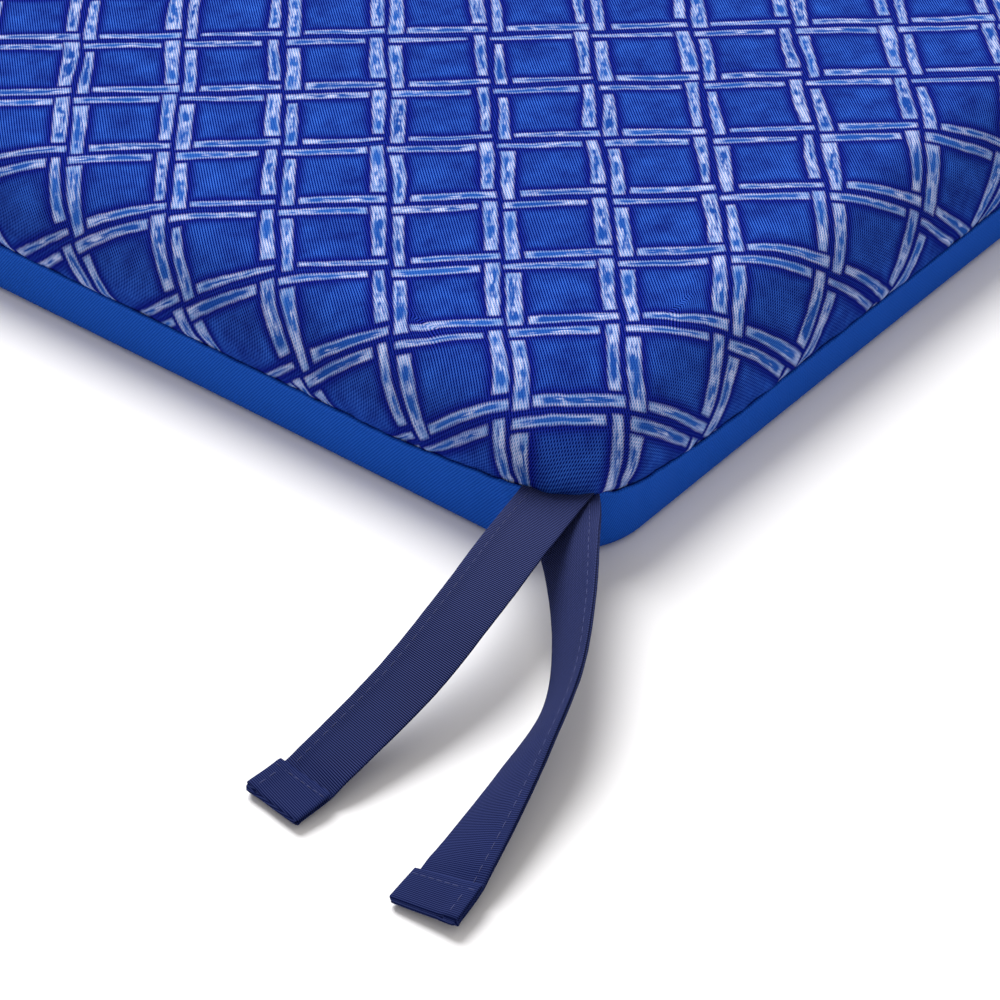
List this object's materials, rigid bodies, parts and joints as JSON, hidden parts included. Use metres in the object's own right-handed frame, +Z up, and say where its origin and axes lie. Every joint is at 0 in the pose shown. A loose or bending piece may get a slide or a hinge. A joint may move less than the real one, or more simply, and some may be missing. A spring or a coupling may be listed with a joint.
{
  "type": "chair cushion",
  "caption": "Square padded chair cushion with a blue trellis print, a plain low side band and navy tie straps at its back corners.",
  "frame": {"origin": "middle of the flat underside, on the surface that the cushion lies on", "axes": "+Z up through the printed top, +Y towards the back edge with the ties, +X towards the right-hand side seen from the front"},
  "size_m": [0.7252, 0.4998, 0.052],
  "materials": {
    "printed_cloth": "plain woven polyester with a pale trellis printed on royal blue, matt with a faint sheen",
    "plain_cloth": "plain woven royal blue polyester, matt",
    "tie_cloth": "ribbed woven navy polyester, matt, edge-stitched"
  },
  "bodies": {
    "root": {"cushion_top": "printed_cloth", "underside": "plain_cloth", "tie_right_upper": "tie_cloth", "tie_right_lower": "tie_cloth", "tie_left_upper": "tie_cloth", "tie_left_lower": "tie_cloth"}
  },
  "joints": []
}
